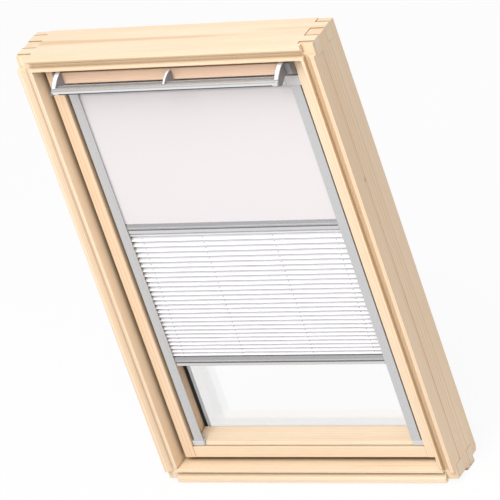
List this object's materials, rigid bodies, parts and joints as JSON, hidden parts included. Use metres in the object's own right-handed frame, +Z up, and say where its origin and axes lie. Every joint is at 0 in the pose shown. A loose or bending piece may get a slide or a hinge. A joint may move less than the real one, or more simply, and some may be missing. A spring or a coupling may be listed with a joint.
{
  "type": "roof window with blind",
  "caption": "Pine centre-pivot roof window with a control bar and ventilation flap, and a double blind in side rails: blackout cloth above, pleated cloth below.",
  "frame": {"origin": "middle of the underside of the sill's foot, where the frame bears on the roof's trimmer", "axes": "+X across the window to the right as seen from the room, +Y from the room to the outside, +Z up along the window"},
  "size_m": [0.78, 0.1655, 1.178],
  "materials": {
    "pine": "clear satin lacquer on pine",
    "cover": "matt grey paint",
    "rubber": "matt",
    "glass": "clear",
    "spacer": "satin",
    "sealant": "matt",
    "steel": "zinc plated",
    "aluminium": "satin anodised",
    "arm_grey": "satin grey",
    "rail_silver": "satin anodised",
    "cap_grey": "satin light grey",
    "blackout": "smooth coated cloth",
    "pleat": "thin pleated cloth",
    "slider": "satin grey"
  },
  "bodies": {
    "frame": {"frame_head": "pine", "frame_sill": "pine", "frame_jamb_left": "pine", "frame_jamb_right": "pine", "frame_cover_left": "cover", "frame_cover_right": "cover", "frame_cover_top": "cover", "frame_cover_bottom": "cover", "frame_hinge_plate_left": "steel", "frame_hinge_plate_right": "steel", "frame_hinge_screw_left_lower": "steel", "frame_hinge_screw_left_upper": "steel", "frame_hinge_screw_right_lower": "steel", "frame_hinge_screw_right_upper": "steel"},
    "sash": {"sash_top_rail": "pine", "sash_bottom_rail": "pine", "sash_stile_left": "pine", "sash_stile_right": "pine", "sash_seal": "rubber", "glazing_gasket": "rubber", "pane_inner": "glass", "pane_outer": "glass", "glass_spacer": "spacer", "glass_edge_seal": "sealant", "sash_cover_left": "cover", "sash_cover_right": "cover", "sash_cover_top": "cover", "sash_cover_bottom": "cover", "sash_hinge_plate_left": "steel", "sash_hinge_plate_right": "steel", "blind_rail_left": "rail_silver", "blind_rail_right": "rail_silver", "rail_top_cap_left": "cap_grey", "rail_top_cap_right": "cap_grey", "rail_bottom_cap_left": "cap_grey", "rail_bottom_cap_right": "cap_grey", "blind_headbox": "rail_silver", "roller_spring_unit": "steel", "blackout_cloth": "blackout"},
    "vent_flap": {"flap_board": "pine", "flap_end_cap_left": "arm_grey", "flap_end_cap_right": "arm_grey", "control_arm_left": "arm_grey", "control_arm_right": "arm_grey", "control_arm_middle": "arm_grey", "control_bar": "aluminium"},
    "roller": {"roller_tube": "steel", "wound_cloth": "blackout"},
    "blackout_bar": {"blackout_bar": "aluminium", "blackout_slider_left": "slider", "blackout_slider_right": "slider", "pleated_cloth": "pleat"},
    "pleat_bar": {"pleat_bar": "aluminium", "pleat_slider_left": "slider", "pleat_slider_right": "slider"}
  },
  "joints": [
    {"name": "sash_pivot", "type": "hinge", "parent": "frame", "child": "sash", "pos_m": [0, -0.011, 0.59125], "axis": [1, 0, 0], "range_deg": [0, 180]},
    {"name": "control_bar_turn", "type": "hinge", "parent": "sash", "child": "vent_flap", "pos_m": [0, -0.038, 1.0935], "axis": [1, 0, 0], "range_deg": [0, 40]},
    {"name": "blackout_slide", "type": "slide", "parent": "sash", "child": "blackout_bar", "axis": [0, 0, 1], "range_m": [0, 0.353], "deforming": ["blackout_cloth"]},
    {"name": "pleat_slide", "type": "slide", "parent": "blackout_bar", "child": "pleat_bar", "axis": [0, 0, 1], "range_m": [-0.212, 0.285], "deforming": ["pleated_cloth"]},
    {"name": "roller_spin", "type": "hinge", "parent": "sash", "child": "roller", "pos_m": [0, -0.0216, 1.0672], "axis": [1, 0, 0], "range_deg": [-1891, 0]}
  ],
  "couplings": [
    {"joint": "roller_spin", "follows": "blackout_slide", "rad_per_m": -93.458}
  ]
}
